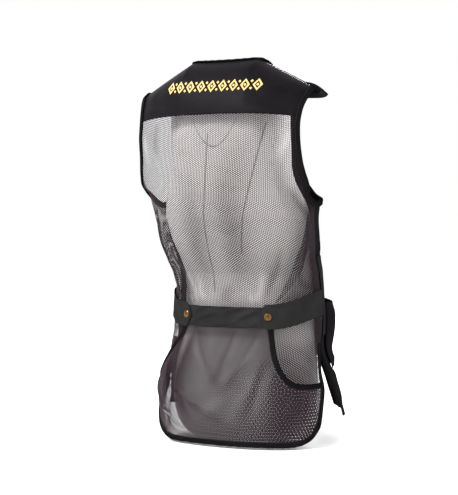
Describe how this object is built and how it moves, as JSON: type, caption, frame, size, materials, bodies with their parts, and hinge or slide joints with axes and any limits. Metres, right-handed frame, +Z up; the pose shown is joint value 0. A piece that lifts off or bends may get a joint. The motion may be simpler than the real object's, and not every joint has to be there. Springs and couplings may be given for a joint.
{
  "type": "shooting vest on torso form",
  "caption": "Sleeveless mesh and twill shooting vest, unzipped, with rear game pouch, snap waist tabs, belt strip, front pockets and shoulder pad, on a limbless torso form.",
  "frame": {"origin": "middle of the torso form's flat base, on the floor", "axes": "+Z up, the wearer's front faces -Y and the wearer's right side is -X"},
  "size_m": [0.4058, 0.3737, 0.7691],
  "materials": {
    "black_net": "matte open net",
    "black_twill": "soft sheen",
    "grey_twill": "matte",
    "black_tape": "matte",
    "black_suede": "napped",
    "bronze_metal": "antique",
    "pale_form": "satin"
  },
  "bodies": {
    "root": {"back_mesh": "black_net", "back_yoke": "black_twill", "pouch": "black_net", "front_right": "black_twill", "front_left": "black_twill", "pocket_right": "black_twill", "pocket_left": "black_twill", "waist_panel_right": "grey_twill", "waist_panel_left": "grey_twill", "belt_centre": "grey_twill", "belt_tab_right": "grey_twill", "belt_tab_left": "grey_twill", "snap_right": "bronze_metal", "snap_left": "bronze_metal", "butt_pad": "black_suede", "neck_binding": "black_tape", "hem_binding": "black_tape", "armhole_binding_right": "black_tape", "armhole_binding_left": "black_tape", "mouth_binding_right": "black_tape", "mouth_binding_left": "black_tape", "zip_tape_right": "black_tape", "zip_tape_left": "black_tape", "zip_teeth_right": "bronze_metal", "zip_teeth_left": "bronze_metal", "zip_slider": "bronze_metal", "torso_form": "pale_form"},
    "pull_tab": {"zip_pull": "bronze_metal"}
  },
  "joints": [
    {"name": "pull_hinge", "type": "hinge", "parent": "root", "child": "pull_tab", "pos_m": [-0.11193, -0.22065, 0.07053], "axis": [-0.6647, 0.7471, 0], "range_deg": [0, 150]}
  ]
}
